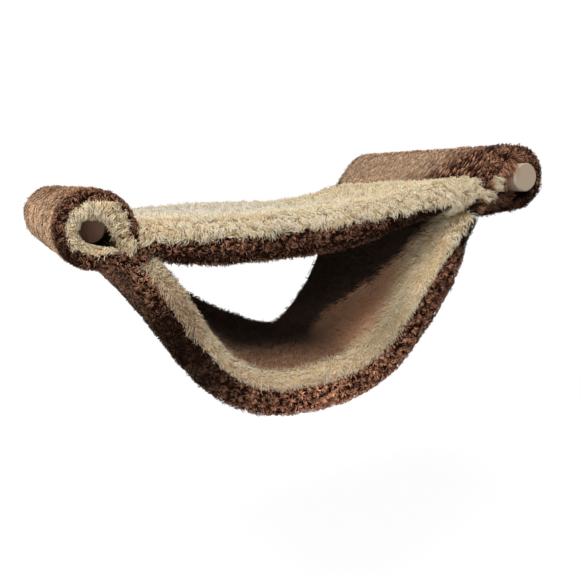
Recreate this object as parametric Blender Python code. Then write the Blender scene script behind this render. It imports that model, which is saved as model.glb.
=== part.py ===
"""Small pet hammock: a padded plush bed over a deep padded sling, hung on two wooden dowels.

Frame: metres, +Z up. The origin lies midway between the two dowel axes, at half the cloth's depth.
X runs from the left dowel to the right one, Y runs along the dowels from the front to the back.
"""
import math

import bpy
import bmesh
from mathutils import Vector

# Overall sizes
DOWEL_SPACING = 0.360
CLOTH_DEPTH = 0.270

# Wooden dowels
DOWEL_DIAMETER = 0.024
DOWEL_LENGTH = 0.290
DOWEL_CHAMFER = 0.0010
RIGHT_DOWEL_PROUD = 0.007
LEFT_DOWEL_RECESS = 0.034

# Clearances
BORE_CLEARANCE = 0.0003
SEAT_GAP = 0.0003
LAYER_GAP = 0.0005

# Sleeves: each is a loop of lined fleece, round over the dowel and pinched at its seam
SLEEVE_LINING = 0.0070
SLEEVE_FLEECE = 0.0065
PINCH_BORE = 0.0005
PINCH_LINING = 0.0030
PINCH_FLEECE = 0.0042
LEFT_SEAM_INWARD = 0.025
RIGHT_SEAM_INWARD = 0.044
LEFT_SEAM_DROP = 0.022
RIGHT_SEAM_DROP = 0.020
MOUTH_ROUNDING = 0.0040

# Bed: cream plush above the edge line, brown fleece below it, wadding between
BED_PLUSH_RISE = 0.0115
BED_FLEECE_DROP = 0.0210
BED_PLUSH_WALL = 0.0075
BED_FLEECE_WALL = 0.0090
BED_EDGE_ROUNDING = 0.0150
BED_SAG = 0.0070
BED_BACK_SAG = 0.0130
BED_BACK_LEAN = 3.5
BED_BACK_RISE = 0.60
BED_HOLLOW = 0.0060

# Sling: cream plush lining above the edge line, brown fleece outside it, wadding between
SLING_PLUSH_RISE = 0.0110
SLING_FLEECE_DROP = 0.0225
SLING_PLUSH_WALL = 0.0065
SLING_FLEECE_WALL = 0.0095
SLING_EDGE_ROUNDING = 0.0150
SLING_FRONT_DROP = 0.114
SLING_BACK_DROP = 0.134
SLING_LEFT_WAY = (0.45, -0.89)
SLING_RIGHT_WAY = (-0.50, -0.87)
SEAM_EASE_SHARE = 0.10
FLOOR_CREST_RISE = 0.0080
FLOOR_CREST_DEPTH = 0.080
FLOOR_CREST_WIDTH = 0.045

# Sewing thread
THREAD_RADIUS = 0.0007
SEAM_THREAD_RADIUS = 0.0009
SEAM_STITCH_PLACE = 0.39
SEAM_STITCH_SWING = 0.06
SEAM_STITCH_PITCH = 0.018
SEAM_THREAD_INSET = 0.006

# How finely the round shapes are cut
BED_STATIONS = 16
SLING_STATIONS = 26
CORNER_STEPS = 3
MOUTH_STEPS = 4
RING_STEPS = 18
PINCH_STEPS = 6
DOWEL_SIDES = 40
FLOOR_SHARES = (0.15, 0.3, 0.45, 0.7)

# The sling's front and back edge lines, from the left seam to the right one:
# how far across, as a share of the distance between seams, and how far down, as a share of the drop
SLING_FRONT_LINE = (
    (0.00, 0.00),
    (0.04, 0.18),
    (0.11, 0.52),
    (0.19, 0.80),
    (0.29, 0.96),
    (0.41, 1.00),
    (0.55, 0.97),
    (0.66, 0.86),
    (0.76, 0.63),
    (0.86, 0.35),
    (0.94, 0.13),
    (1.00, 0.00),
)
SLING_BACK_LINE = (
    (0.00, 0.00),
    (0.08, 0.17),
    (0.20, 0.39),
    (0.34, 0.63),
    (0.46, 0.80),
    (0.57, 0.93),
    (0.67, 0.99),
    (0.75, 0.93),
    (0.83, 0.79),
    (0.91, 0.59),
    (0.97, 0.33),
    (1.00, 0.00),
)

# How thick each layer is along the cloth, as shares of its full thickness
BED_PLUSH_SWELL = ((0.0, 1.1), (0.12, 1.0), (0.5, 1.0), (0.75, 1.05), (0.9, 1.3), (1.0, 1.3))
BED_FLEECE_SWELL = ((0.0, 0.35), (0.08, 0.80), (0.2, 1.0), (0.45, 1.0), (0.6, 0.93), (0.8, 0.50), (1.0, 0.22))
SLING_PLUSH_SWELL = ((0.0, 0.7), (0.08, 0.95), (0.5, 1.0), (0.9, 0.95), (1.0, 0.7))
SLING_FLEECE_SWELL = ((0.0, 0.50), (0.06, 0.75), (0.15, 0.90), (0.3, 0.97), (0.55, 1.12), (0.85, 1.12), (1.0, 0.35))

FRONT = -CLOTH_DEPTH / 2
BACK = CLOTH_DEPTH / 2
BORE_RADIUS = DOWEL_DIAMETER / 2 + BORE_CLEARANCE
LINING_RADIUS = BORE_RADIUS + SLEEVE_LINING
FLEECE_RADIUS = LINING_RADIUS + SEAT_GAP + SLEEVE_FLEECE
LINING_PINCH = PINCH_BORE + PINCH_LINING
FLEECE_PINCH = LINING_PINCH + SEAT_GAP + PINCH_FLEECE

CREAM_PLUSH = (0.66, 0.54, 0.37)
BROWN_FLEECE = (0.070, 0.030, 0.022)
WADDING_WHITE = (0.82, 0.81, 0.78)
PALE_WOOD = (0.60, 0.44, 0.28)
BROWN_THREAD = (0.045, 0.020, 0.014)


def clear_scene():
    for old in list(bpy.data.objects):
        bpy.data.objects.remove(old, do_unlink=True)


def make_material(name, colour, roughness):
    material = bpy.data.materials.new(name)
    material.use_nodes = True
    shader = material.node_tree.nodes["Principled BSDF"]
    shader.inputs["Base Color"].default_value = (*colour, 1.0)
    shader.inputs["Roughness"].default_value = roughness
    shader.inputs["Metallic"].default_value = 0.0
    return material


def add_solid(name, points, faces, material, crease_deg=50):
    """One closed body, with its faces turned outwards and its round parts shaded smooth."""
    mesh = bpy.data.meshes.new(name)
    mesh.from_pydata(points, [], faces)
    work = bmesh.new()
    work.from_mesh(mesh)
    bmesh.ops.recalc_face_normals(work, faces=work.faces)
    work.to_mesh(mesh)
    work.free()
    mesh.shade_smooth()
    mesh.set_sharp_from_angle(angle=math.radians(crease_deg))
    mesh.materials.append(material)
    solid = bpy.data.objects.new(name, mesh)
    bpy.context.scene.collection.objects.link(solid)
    return solid


def flat(x, z):
    """A point or a direction in the plane across the dowels."""
    return Vector((x, 0.0, z))


def mix(a, b, share):
    return a + (b - a) * share


def share_of(table, place):
    """Reads a table of (place, value) pairs, eased between its rows."""
    for (low, before), (high, after) in zip(table, table[1:]):
        if place <= high:
            step = (place - low) / (high - low)
            return mix(before, after, step * step * (3 - 2 * step))
    return table[-1][1]


def smooth_line(points, count):
    """Evenly spaced points on a smooth curve through the given ones."""
    fine = []
    padded = [points[0] * 2 - points[1], *points, points[-1] * 2 - points[-2]]
    for a, b, c, d in zip(padded, padded[1:], padded[2:], padded[3:]):
        for step in range(12):
            t = step / 12
            fine.append(
                (b * 2 + (c - a) * t + (a * 2 - b * 5 + c * 4 - d) * t ** 2 + (b * 3 - a - c * 3 + d) * t ** 3) / 2
            )
    fine.append(points[-1])
    lengths = [0.0]
    for a, b in zip(fine, fine[1:]):
        lengths.append(lengths[-1] + (b - a).length)
    spaced = []
    segment = 0
    for index in range(count):
        goal = lengths[-1] * index / (count - 1)
        while segment < len(fine) - 2 and lengths[segment + 1] < goal:
            segment += 1
        step = (goal - lengths[segment]) / (lengths[segment + 1] - lengths[segment])
        spaced.append(mix(fine[segment], fine[segment + 1], step))
    return spaced


class Sleeve:
    """Where one sleeve's dowel and seam lie, and which way the sling leaves its seam.

    side is -1 on the left and 1 on the right.
    """

    def __init__(self, side, seam_inward, seam_drop, sling_way):
        self.side = side
        self.sling_way = flat(*sling_way).normalized()
        self.dowel = flat(side * DOWEL_SPACING / 2, 0.0)
        self.seam = self.dowel + flat(-side * seam_inward, -seam_drop)
        toward = self.seam - self.dowel
        self.reach = toward.length
        self.toward_angle = math.atan2(toward.z, toward.x)

    def turn(self, around_dowel, around_seam):
        """The angle from the seam's direction at which the outline leaves its round end."""
        return math.acos((around_dowel - around_seam) / self.reach)

    def outline(self, around_dowel, around_seam):
        """A drop-shaped outline: a round over the dowel, drawn to a smaller round at the seam."""
        turn = self.turn(around_dowel, around_seam)
        points = []
        for step in range(RING_STEPS + 1):
            angle = self.toward_angle + mix(turn, 2 * math.pi - turn, step / RING_STEPS)
            points.append(self.dowel + flat(math.cos(angle), math.sin(angle)) * around_dowel)
        for step in range(PINCH_STEPS + 1):
            angle = self.toward_angle + mix(-turn, turn, step / PINCH_STEPS)
            points.append(self.seam + flat(math.cos(angle), math.sin(angle)) * around_seam)
        return points

    def seat_angle(self):
        """Which way the sleeve's straight upper flank faces."""
        return self.toward_angle - self.side * self.turn(FLEECE_RADIUS, FLEECE_PINCH)

    def top_seat(self):
        """The straight upper flank: where it starts at the seam, its outward way and its rise."""
        angle = self.seat_angle()
        outward = flat(math.cos(angle), math.sin(angle))
        rise = flat(self.side * outward.z, -self.side * outward.x)
        start = self.seam + outward * (FLEECE_PINCH + SEAT_GAP)
        return start, outward, rise

    def corner_way(self, share):
        """A way out from the seam, at a share of the corner that runs from the bed's seat to the sling."""
        seat = self.seat_angle()
        sling = math.atan2(self.sling_way.z, self.sling_way.x)
        corner = (sling - seat) * self.side % (2 * math.pi)
        angle = seat + self.side * corner * share
        return flat(math.cos(angle), math.sin(angle))


def sleeve_layer(name, sleeve, inner, outer, material):
    """A tube round the dowel between two drop-shaped outlines, with rounded mouths."""
    inner_outline = sleeve.outline(*inner)
    outer_outline = sleeve.outline(*outer)
    mouth = []
    for step in range(MOUTH_STEPS + 1):
        angle = math.pi * step / MOUTH_STEPS
        mouth.append((MOUTH_ROUNDING * (1 - math.sin(angle)), (1 - math.cos(angle)) / 2))
    wall = [(FRONT + inset, share) for inset, share in mouth]
    wall += [(BACK - inset, share) for inset, share in reversed(mouth)]
    points = []
    for inside, outside in zip(inner_outline, outer_outline):
        for y, share in wall:
            points.append(mix(inside, outside, share) + Vector((0, y, 0)))
    return add_solid(name, points, ring_faces(len(inner_outline), len(wall), closed=True), material)


def ring_faces(rings, size, closed=False):
    """Quads between rings of points that lie one after the other in the point list."""
    faces = []
    for ring in range(rings if closed else rings - 1):
        following = (ring + 1) % rings
        for index in range(size):
            beside = (index + 1) % size
            faces.append((ring * size + index, ring * size + beside, following * size + beside, following * size + index))
    return faces


class Cloth:
    """A padded panel between two seams. Its edge line is where the upper and lower cloth meet.

    front and back hold the edge line's points, and ups the ways the panel's thickness grows at them.
    swells scale the thickness above and below the line, and back_rise the plush at the back edge.
    """

    def __init__(self, front, back, ups, swells, crest=0.0, hollow=0.0, back_rise=1.0):
        self.front = front
        self.back = back
        self.front_up, self.back_up = ups
        self.plush_swell, self.fleece_swell = swells
        self.crest = crest
        self.hollow = hollow
        self.back_rise = back_rise

    def at(self, station, depth, height):
        """The point at a station across, a depth behind the front edge and a height above the line."""
        across = station / (len(self.front) - 1)
        share = depth / CLOTH_DEPTH
        if height > 0:
            swell = share_of(self.plush_swell, across) * mix(1.0, self.back_rise, share)
        else:
            swell = share_of(self.fleece_swell, across)
        up = mix(self.front_up[station], self.back_up[station], share).normalized()
        point = mix(self.front[station], self.back[station], share) + up * (height * swell)
        fullness = math.sin(math.pi * across) ** 2
        crest = self.crest * math.exp(-(((depth - FLOOR_CREST_DEPTH) / FLOOR_CREST_WIDTH) ** 2))
        hollow = self.hollow * math.sin(math.pi * share)
        return point + Vector((0, FRONT + depth, fullness * (crest - hollow)))


def edge_ways(points, first_way, last_way):
    """The way up from each point of an edge line, square to it, eased to the given ways at its ends."""
    ways = []
    for index, point in enumerate(points):
        before = points[max(index - 1, 0)]
        after = points[min(index + 1, len(points) - 1)]
        along = (after - before).normalized()
        up = flat(-along.z, along.x)
        place = index / (len(points) - 1)
        near_first = max(0.0, 1 - place / SEAM_EASE_SHARE) ** 2
        near_last = max(0.0, 1 - (1 - place) / SEAM_EASE_SHARE) ** 2
        up = mix(up, first_way, near_first)
        ways.append(mix(up, last_way, near_last).normalized())
    return ways


def layer_chain(rounding, deep, high, floor):
    """One side of a layer from the front edge over to the back edge, as (depth, height) points.

    Each edge is a quarter of an ellipse, deep by high, that ends rounding inside the panel's edge.
    """
    corner = []
    for step in range(CORNER_STEPS + 1):
        angle = math.pi / 2 * step / CORNER_STEPS
        corner.append((rounding - deep * math.cos(angle), mix(floor, high, math.sin(angle))))
    middle = [(CLOTH_DEPTH * share, high) for share in FLOOR_SHARES]
    mirrored = [(CLOTH_DEPTH - depth, rise) for depth, rise in reversed(corner)]
    return corner + middle + mirrored


def cloth_layer(name, cloth, outer, inner, material):
    """A solid between two chains of (depth, height) points, run from seam to seam.

    Every face is split the same way across the cloth, so that layers which lie together stay parallel.
    """
    size = len(outer) + len(inner)
    rings = len(cloth.front)
    points = []
    for station in range(rings):
        for depth, height in outer + inner[::-1]:
            points.append(cloth.at(station, depth, height))
    faces = []
    for index, (a, b, c, d) in enumerate(ring_faces(rings, size)):
        if index % size < len(outer) - 1:
            faces += [(a, b, c), (a, c, d)]
        else:
            faces += [(a, b, d), (b, c, d)]
    for base in (0, (rings - 1) * size):
        for index in range(len(outer) - 1):
            faces.append(
                (base + index, base + index + 1, base + size - 2 - index, base + size - 1 - index)
            )
    return add_solid(name, points, faces, material)


def add_panel(names, cloth, rounding, plush, fleece, materials):
    """A panel's plush, fleece and wadding, in that order. plush and fleece are (height, wall)."""
    split = LAYER_GAP / 2
    plush_height, plush_wall = plush
    fleece_height, fleece_wall = fleece
    for index, (height, wall, floor) in enumerate(
        ((plush_height, plush_wall, split), (-fleece_height, -fleece_wall, -split))
    ):
        outer = layer_chain(rounding, rounding, height, floor)
        inner = layer_chain(rounding, rounding - abs(wall), height - wall, floor)
        cloth_layer(names[index], cloth, outer, inner, materials[index])
    core = rounding - thread_inset(plush_wall, fleece_wall) - THREAD_RADIUS - SEAT_GAP
    upper = layer_chain(rounding, core, plush_height - plush_wall - LAYER_GAP, split)
    lower = layer_chain(rounding, core, fleece_wall + LAYER_GAP - fleece_height, -split)
    cloth_layer(names[2], cloth, upper, lower, materials[2])


def thread_inset(plush_wall, fleece_wall):
    """How far behind a panel's edge its thread runs, between the cloth's folded lips and the wadding."""
    return max(plush_wall, fleece_wall) + SEAT_GAP + THREAD_RADIUS


def bed_cloth(left, right):
    """The bed's panel: nearly flat, seated on the straight upper flanks of both sleeves."""
    ends = []
    for sleeve, place in ((left, 0.0), (right, 1.0)):
        start, outward, rise = sleeve.top_seat()
        thickness = BED_FLEECE_DROP * share_of(BED_FLEECE_SWELL, place)
        ends.append((start + rise * (thickness + SEAT_GAP), outward, rise))
    (left_end, left_out, left_rise), (right_end, right_out, right_rise) = ends
    lines = []
    for deepest, lean in ((BED_SAG, 1.0), (BED_BACK_SAG, BED_BACK_LEAN)):
        line = []
        for place in (0.0, 0.1, 0.3, 0.5, 0.7, 0.9, 1.0):
            sag = deepest * math.sin(math.pi * place ** lean)
            line.append(mix(left_end, right_end, place) - flat(0, sag))
        lines.append(smooth_line(line, BED_STATIONS))
    ways = [edge_ways(line, left_rise, right_rise) for line in lines]
    swells = (BED_PLUSH_SWELL, BED_FLEECE_SWELL)
    return Cloth(*lines, ways, swells, hollow=BED_HOLLOW, back_rise=BED_BACK_RISE)


def sling_cloth(left, right):
    """The sling's panel: its front hangs in a round U, its back in a V that is drawn to the right."""
    seat = FLEECE_PINCH + SEAT_GAP
    left_end = left.seam + left.sling_way * seat
    right_end = right.seam + right.sling_way * seat
    left_up = flat(-left.sling_way.z, left.sling_way.x)
    right_up = flat(right.sling_way.z, -right.sling_way.x)
    lines = []
    for table, drop in ((SLING_FRONT_LINE, SLING_FRONT_DROP), (SLING_BACK_LINE, SLING_BACK_DROP)):
        line = [mix(left_end, right_end, across) - flat(0, drop * down) for across, down in table]
        lines.append(smooth_line(line, SLING_STATIONS))
    ways = [edge_ways(line, left_up, right_up) for line in lines]
    return Cloth(*lines, ways, (SLING_PLUSH_SWELL, SLING_FLEECE_SWELL), crest=FLOOR_CREST_RISE)


def add_tube(name, points, radius, material):
    """A thread along the given points, as a round tube with closed ends."""
    curve = bpy.data.curves.new(name, "CURVE")
    curve.dimensions = "3D"
    curve.bevel_depth = radius
    curve.bevel_resolution = 1
    curve.use_fill_caps = True
    curve.materials.append(material)
    spline = curve.splines.new("POLY")
    spline.points.add(len(points) - 1)
    for knot, point in zip(spline.points, points):
        knot.co = (*point, 1.0)
    tube = bpy.data.objects.new(name, curve)
    bpy.context.scene.collection.objects.link(tube)
    return tube


def add_edge_threads(panel_name, cloth, plush_wall, fleece_wall, material):
    """The threads that close a panel's front and back edges, in the channels behind the edge line."""
    inset = thread_inset(plush_wall, fleece_wall)
    for place, depth in (("front", inset), ("back", CLOTH_DEPTH - inset)):
        points = [cloth.at(station, depth, 0.0) for station in range(1, len(cloth.front) - 1)]
        add_tube(panel_name + "_" + place + "_edge_thread", points, THREAD_RADIUS, material)


def add_seam_thread(name, sleeve, material):
    """The long seam's thread, overcast up and down in the corner between the bed and the sling."""
    reach = FLEECE_PINCH + SEAT_GAP + SEAM_THREAD_RADIUS
    length = CLOTH_DEPTH - 2 * SEAM_THREAD_INSET
    stitches = round(length / SEAM_STITCH_PITCH)
    points = []
    for step in range(stitches * 4 + 1):
        way = sleeve.corner_way(SEAM_STITCH_PLACE + SEAM_STITCH_SWING * math.sin(math.pi / 2 * step))
        y = FRONT + SEAM_THREAD_INSET + length * step / (stitches * 4)
        points.append(sleeve.seam + way * reach + Vector((0, y, 0)))
    return add_tube(name, points, SEAM_THREAD_RADIUS, material)


def add_dowel(name, sleeve, front_end, material):
    """A round wooden dowel with chamfered ends. Its origin is on its axis, at its front end."""
    rim = DOWEL_DIAMETER / 2
    profile = [
        (0.0, rim - DOWEL_CHAMFER),
        (DOWEL_CHAMFER, rim),
        (DOWEL_LENGTH - DOWEL_CHAMFER, rim),
        (DOWEL_LENGTH, rim - DOWEL_CHAMFER),
    ]
    points = []
    for y, radius in profile:
        for side in range(DOWEL_SIDES):
            angle = 2 * math.pi * side / DOWEL_SIDES
            points.append((radius * math.cos(angle), y, radius * math.sin(angle)))
    faces = ring_faces(len(profile), DOWEL_SIDES)
    faces.append(tuple(range(DOWEL_SIDES)))
    faces.append(tuple(range((len(profile) - 1) * DOWEL_SIDES, len(profile) * DOWEL_SIDES)))
    dowel = add_solid(name, points, faces, material, crease_deg=30)
    dowel.location = sleeve.dowel + Vector((0, front_end, 0))
    return dowel


def build():
    clear_scene()
    cream = make_material("cream_plush", CREAM_PLUSH, 0.95)
    brown = make_material("brown_fleece", BROWN_FLEECE, 0.95)
    white = make_material("wadding", WADDING_WHITE, 1.0)
    wood = make_material("pale_wood", PALE_WOOD, 0.6)
    thread = make_material("brown_thread", BROWN_THREAD, 0.7)

    left = Sleeve(-1, LEFT_SEAM_INWARD, LEFT_SEAM_DROP, SLING_LEFT_WAY)
    right = Sleeve(1, RIGHT_SEAM_INWARD, RIGHT_SEAM_DROP, SLING_RIGHT_WAY)
    for name, sleeve in (("left", left), ("right", right)):
        sleeve_layer(
            name + "_sleeve_lining",
            sleeve,
            (BORE_RADIUS, PINCH_BORE),
            (LINING_RADIUS, LINING_PINCH),
            cream,
        )
        sleeve_layer(
            name + "_sleeve_fleece",
            sleeve,
            (LINING_RADIUS + SEAT_GAP, LINING_PINCH + SEAT_GAP),
            (FLEECE_RADIUS, FLEECE_PINCH),
            brown,
        )
        add_seam_thread(name + "_seam_thread", sleeve, thread)

    add_dowel("left_dowel", left, FRONT + LEFT_DOWEL_RECESS, wood)
    add_dowel("right_dowel", right, FRONT - RIGHT_DOWEL_PROUD, wood)

    bed = bed_cloth(left, right)
    add_panel(
        ("bed_top_plush", "bed_under_fleece", "bed_wadding"),
        bed,
        BED_EDGE_ROUNDING,
        (BED_PLUSH_RISE, BED_PLUSH_WALL),
        (BED_FLEECE_DROP, BED_FLEECE_WALL),
        (cream, brown, white),
    )
    add_edge_threads("bed", bed, BED_PLUSH_WALL, BED_FLEECE_WALL, thread)

    sling = sling_cloth(left, right)
    add_panel(
        ("sling_lining_plush", "sling_outer_fleece", "sling_wadding"),
        sling,
        SLING_EDGE_ROUNDING,
        (SLING_PLUSH_RISE, SLING_PLUSH_WALL),
        (SLING_FLEECE_DROP, SLING_FLEECE_WALL),
        (cream, brown, white),
    )
    add_edge_threads("sling", sling, SLING_PLUSH_WALL, SLING_FLEECE_WALL, thread)


build()
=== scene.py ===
"""A small pet hammock in its photo studio: plush and fleece with real pile, on two dowels."""

import math
from dataclasses import dataclass, replace
from functools import partial

import bpy
import numpy as np
from mathutils import Matrix, Vector, noise
from mathutils.bvhtree import BVHTree
from mathutils.kdtree import KDTree


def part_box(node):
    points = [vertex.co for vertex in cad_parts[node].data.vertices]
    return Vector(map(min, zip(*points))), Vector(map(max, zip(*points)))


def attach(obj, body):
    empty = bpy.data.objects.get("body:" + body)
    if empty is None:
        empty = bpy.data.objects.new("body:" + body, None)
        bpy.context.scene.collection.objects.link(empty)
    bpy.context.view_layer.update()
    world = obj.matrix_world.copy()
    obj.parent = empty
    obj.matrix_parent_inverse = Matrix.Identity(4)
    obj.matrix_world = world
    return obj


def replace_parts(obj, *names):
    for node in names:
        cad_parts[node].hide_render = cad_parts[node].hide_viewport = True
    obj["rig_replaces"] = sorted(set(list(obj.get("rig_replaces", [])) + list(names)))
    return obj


bl_info = {
    "name": "Small Pet Hammock",
    "version": (1, 0, 0),
    "blender": (4, 5, 0),
    "location": "3D View > Sidebar > Hammock",
    "description": "Dresses a two-level pet hammock in plush, fleece and wood",
    "category": "Object",
}

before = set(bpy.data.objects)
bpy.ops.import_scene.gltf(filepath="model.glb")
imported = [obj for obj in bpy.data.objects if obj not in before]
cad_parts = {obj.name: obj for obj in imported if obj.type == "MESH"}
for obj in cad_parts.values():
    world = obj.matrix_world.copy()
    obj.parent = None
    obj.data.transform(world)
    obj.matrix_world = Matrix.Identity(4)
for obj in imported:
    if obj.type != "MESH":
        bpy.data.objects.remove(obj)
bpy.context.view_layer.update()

MM = 0.001
SQUARE_CM = 0.0001

CREAM = "cream_plush"
BROWN = "brown_fleece"

CLOTH_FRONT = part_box("sling_outer_fleece")[0].y
CLOTH_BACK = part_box("sling_outer_fleece")[1].y
EDGE_ZONE = 22 * MM
EDGE_FADE = 12 * MM
TOUCH = 1.3 * MM
SINK = 0.5 * MM

# The photo's view: where its camera stands, its right, its way ahead and its lens
CAMERA_SPOT = Vector((-0.2544, -0.6266, 0.0396))
CAMERA_RIGHT = Vector((0.9086, -0.4076, -0.0911))
CAMERA_AHEAD = Vector((0.3862, 0.903, -0.188))
CAMERA_LENS = 44.69
CAMERA_SENSOR = 36.0

# Colours that the plush takes on in some places: a paler cream in the middle of the bed, a ruddy
# haze of brown fibres along the sling's lip, a darker left corner of the lip, and browns and near
# blacks that are painted shade deep in the sling's lining
PALE_CREAM = (0.88, 0.83, 0.73)
LIP_HAZE = (0.42, 0.20, 0.12)
LIP_CORNER = (0.22, 0.105, 0.068)
FLOOR_SHADE_BROWN = (0.25, 0.118, 0.073)
FLANK_SHADE_BROWN = (0.72, 0.37, 0.22)
FLOOR_SHADE_DARK = (0.095, 0.064, 0.053)
FLANK_SHADE_DARK = (0.018, 0.015, 0.015)

# Spots in a metre of the finishes' noise
KNIT = 420.0
PLUSH_CLOUD = 26.0
FLEECE_CLOUD = 34.0

# Shape of a lock of pile: shares of its length, of its tuft's width or of a turn
LOCK_SIDES = 3
BLUNT = 0.90
POINTED = 0.6
TUFT_GAP = 0.82
TUFT_CORE = 0.22
TUFT_RIM = 0.62
SHARED_STRAY = 0.75
LAID_DOWN = 0.55
TIP_SPREAD = 0.35
LEAST_RISE = 0.20
KNEE_RISE = 0.45
KNEE_CURL = 0.9
KNEE_LEAN = 0.2
WAVE_TURNS = 0.9
NUDGE = 1e-6
CELL_MARGIN = 0.06


# Settings


def colour_setting(name, description, default):
    """A colour in the panel."""
    return bpy.props.FloatVectorProperty(
        name=name, description=description, default=default, subtype="COLOR", min=0.0, max=1.0
    )


def number_setting(name, description, default, low, high, unit="NONE"):
    """A number in the panel, with its limits and its unit."""
    return bpy.props.FloatProperty(
        name=name, description=description, default=default, min=low, max=high, unit=unit
    )


class HammockClothSettings(bpy.types.PropertyGroup):
    """Colours and lengths of the plush and the fleece."""

    cream_light: colour_setting(
        "Cream tips", "Colour of the plush where its curls catch the light", (0.96, 0.84, 0.61)
    )
    cream_deep: colour_setting(
        "Cream roots", "Colour of the plush deep between its curls", (0.86, 0.63, 0.36)
    )
    brown_light: colour_setting(
        "Brown tips", "Colour of the fleece where its tufts catch the light", (0.760, 0.380, 0.225)
    )
    brown_deep: colour_setting(
        "Brown roots", "Colour of the fleece deep between its tufts", (0.060, 0.021, 0.014)
    )
    # Brushed nap: the sheen of the brushed nap, painted in as a pale colour
    brushed: colour_setting(
        "Brushed nap", "Colour of the sleeves' nap where it is brushed pale", (0.92, 0.63, 0.41)
    )
    cream_length: number_setting(
        "Plush length", "Length of the plush's curls", 6.5 * MM, 1 * MM, 15 * MM, "LENGTH"
    )
    brown_length: number_setting(
        "Fleece length", "Length of the fleece's tufts", 4.5 * MM, 1 * MM, 12 * MM, "LENGTH"
    )
    grain: number_setting(
        "Cloth grain", "Size of the cloths' surface squares", 2.6 * MM, 1.5 * MM, 8 * MM, "LENGTH"
    )


class HammockWoodSettings(bpy.types.PropertyGroup):
    """Colours of the dowels."""

    light: colour_setting(
        "Early wood", "Colour of the soft wood between the rings", (0.44, 0.34, 0.245)
    )
    dark: colour_setting(
        "Late wood", "Colour of the rings and of the grain lines", (0.40, 0.26, 0.15)
    )
    cut: colour_setting(
        "Cut end", "Colour of the sawn front end of the right dowel", (0.41, 0.32, 0.235)
    )
    # The left dowel's front end is painted shadow, with the brown light of the fleece round it,
    # deep in its mouth
    shadowed: colour_setting(
        "End in the mouth", "Colour of the left dowel's browned front end", (0.235, 0.125, 0.090)
    )
    ring_step: number_setting(
        "Ring distance", "Distance between two year rings", 2.2 * MM, 0.3 * MM, 6 * MM, "LENGTH"
    )


class HammockStageSettings(bpy.types.PropertyGroup):
    """Floor, lamps and room light."""

    floor_drop: number_setting(
        "Floor depth", "How far the floor lies below the dowels", 0.46, 0.2, 2.0, "LENGTH"
    )
    key_power: number_setting(
        "Key lamp", "Power of the large lamp above the front left", 26.0, 0.0, 200.0, "POWER"
    )
    fill_power: number_setting(
        "Fill lamp", "Power of the wide lamp at the front left", 8.6, 0.0, 200.0, "POWER"
    )
    sky: number_setting(
        "Room light", "Strength of the even light that comes from all round", 0.18, 0.0, 3.0
    )


# Shader maths


def both_ways(operation):
    """A sum of two terms with the socket as the first one, and its reflected form."""
    return (
        lambda self, other: self.maths(operation, self, other),
        lambda self, other: self.maths(operation, other, self),
    )


class Value:
    """A shader socket that Python's sums can be written with."""

    def __init__(self, finish, socket):
        self.finish = finish
        self.socket = socket

    def maths(self, operation, first, second=0.0):
        """A sum as a node of its own."""
        return self.finish.add("ShaderNodeMath", {"operation": operation}, {0: first, 1: second})

    __add__, __radd__ = both_ways("ADD")
    __sub__, __rsub__ = both_ways("SUBTRACT")
    __mul__, __rmul__ = both_ways("MULTIPLY")
    __truediv__, __rtruediv__ = both_ways("DIVIDE")
    __pow__, __rpow__ = both_ways("POWER")

    def larger(self, other):
        """The larger of two numbers."""
        return self.maths("MAXIMUM", self, other)

    def size(self):
        """The number without its sign."""
        return self.maths("ABSOLUTE", self)

    def fraction(self):
        """What the number has behind its point."""
        return self.maths("FRACT", self)

    def ramp(self, low, high):
        """0 below low, 1 above high, and a smooth rise between them."""
        return self.finish.add(
            "ShaderNodeMapRange",
            {"interpolation_type": "SMOOTHSTEP", "clamp": True},
            {"Value": self, "From Min": low, "From Max": high},
        )

    def fall(self, low, high):
        """1 below low, 0 above high."""
        return 1.0 - self.ramp(low, high)


class Nodes:
    """A node tree that is built node by node."""

    def __init__(self, owner):
        owner.use_nodes = True
        self.tree = owner.node_tree
        self.tree.nodes.clear()

    def add(self, kind, settings=None, sockets=None, output=0):
        """One node: its settings first, then the values or links of its sockets."""
        node = self.tree.nodes.new(kind)
        for key, setting in (settings or {}).items():
            setattr(node, key, setting)
        for key, given in (sockets or {}).items():
            if isinstance(given, Value):
                self.tree.links.new(given.socket, node.inputs[key])
            else:
                node.inputs[key].default_value = given
        return Value(self, node.outputs[output]) if node.outputs else None


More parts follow.
